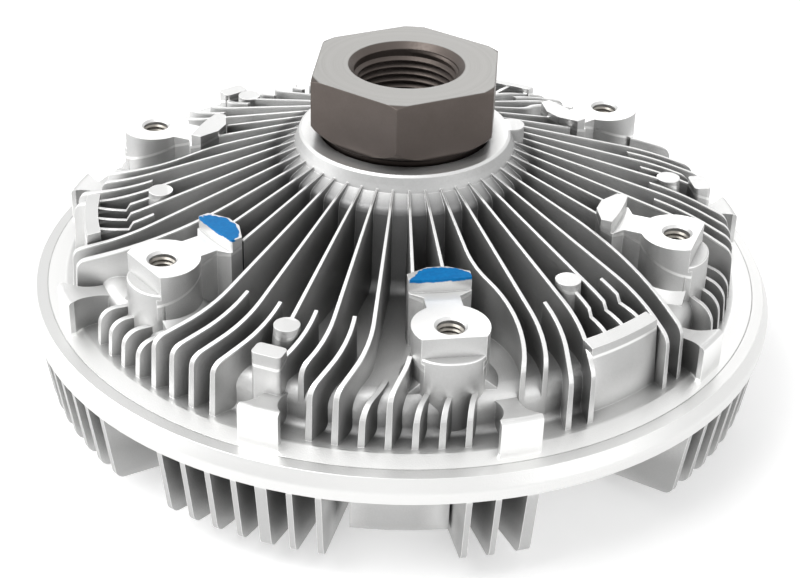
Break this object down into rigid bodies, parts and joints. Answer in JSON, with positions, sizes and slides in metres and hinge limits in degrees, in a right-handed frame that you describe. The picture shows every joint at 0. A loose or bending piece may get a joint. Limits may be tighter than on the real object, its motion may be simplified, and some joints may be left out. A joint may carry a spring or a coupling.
{
  "type": "viscous fan clutch",
  "caption": "Viscous fan clutch: finned cast housing with fan bosses, finned front cover with a thermostat coil, and a threaded steel drive hexagon.",
  "frame": {"origin": "on the axis, in the plane of the front cover's lowest fins", "axes": "+Z along the axis, from the front cover towards the threaded drive hexagon; the picture looks from -Y and above"},
  "size_m": [0.2058, 0.2058, 0.0938],
  "materials": {
    "cast_aluminium": "as cast, with machined faces",
    "rotor_aluminium": "machined",
    "hub_steel": "dark, machined",
    "bearing_steel": "ground",
    "spring_steel": "phosphated",
    "plate_steel": "plain",
    "screw_steel": "zinc plated",
    "bimetal_strip": "rolled strip",
    "cage_brass": "satin",
    "bush_bronze": "satin",
    "seal_rubber": "matte",
    "wiper_plastic": "matte"
  },
  "bodies": {
    "housing": {"rear_housing": "cast_aluminium", "front_cover": "cast_aluminium", "cover_seal": "seal_rubber", "bearing_outer_ring": "bearing_steel", "bearing_front_seal": "seal_rubber", "bearing_rear_seal": "seal_rubber", "bearing_retaining_ring": "spring_steel", "divider_plate": "plate_steel", "divider_screws": "screw_steel", "pump_wiper": "wiper_plastic", "valve_stop_pins": "plate_steel", "valve_bushing": "bush_bronze", "bimetal_coil": "bimetal_strip", "coil_bracket": "plate_steel", "bracket_screws": "screw_steel", "filler_plug": "screw_steel"},
    "input": {"drive_hub": "hub_steel", "bearing_inner_ring": "bearing_steel", "rotor": "rotor_aluminium", "rotor_retaining_ring": "spring_steel"},
    "ball_set": {"bearing_cage": "cage_brass", "bearing_ball_01": "bearing_steel", "bearing_ball_02": "bearing_steel", "bearing_ball_03": "bearing_steel", "bearing_ball_04": "bearing_steel", "bearing_ball_05": "bearing_steel", "bearing_ball_06": "bearing_steel", "bearing_ball_07": "bearing_steel", "bearing_ball_08": "bearing_steel", "bearing_ball_09": "bearing_steel"},
    "valve": {"valve_shaft": "plate_steel", "valve_shaft_seal": "seal_rubber", "valve_arm": "spring_steel"}
  },
  "joints": [
    {"name": "input_spin", "type": "hinge", "parent": "housing", "child": "input", "pos_m": [0, 0, 0.056], "axis": [0, 0, 1], "continuous": true},
    {"name": "ball_spin", "type": "hinge", "parent": "housing", "child": "ball_set", "pos_m": [0, 0, 0.056], "axis": [0, 0, 1], "continuous": true},
    {"name": "valve_turn", "type": "hinge", "parent": "housing", "child": "valve", "pos_m": [0, 0, 0.0195], "axis": [0, 0, 1], "range_deg": [0, 30], "stiffness_Nm_per_rad": 0.05, "deforming": ["bimetal_coil"]}
  ],
  "couplings": [
    {"joint": "ball_spin", "follows": "input_spin", "ratio": 0.4103}
  ]
}
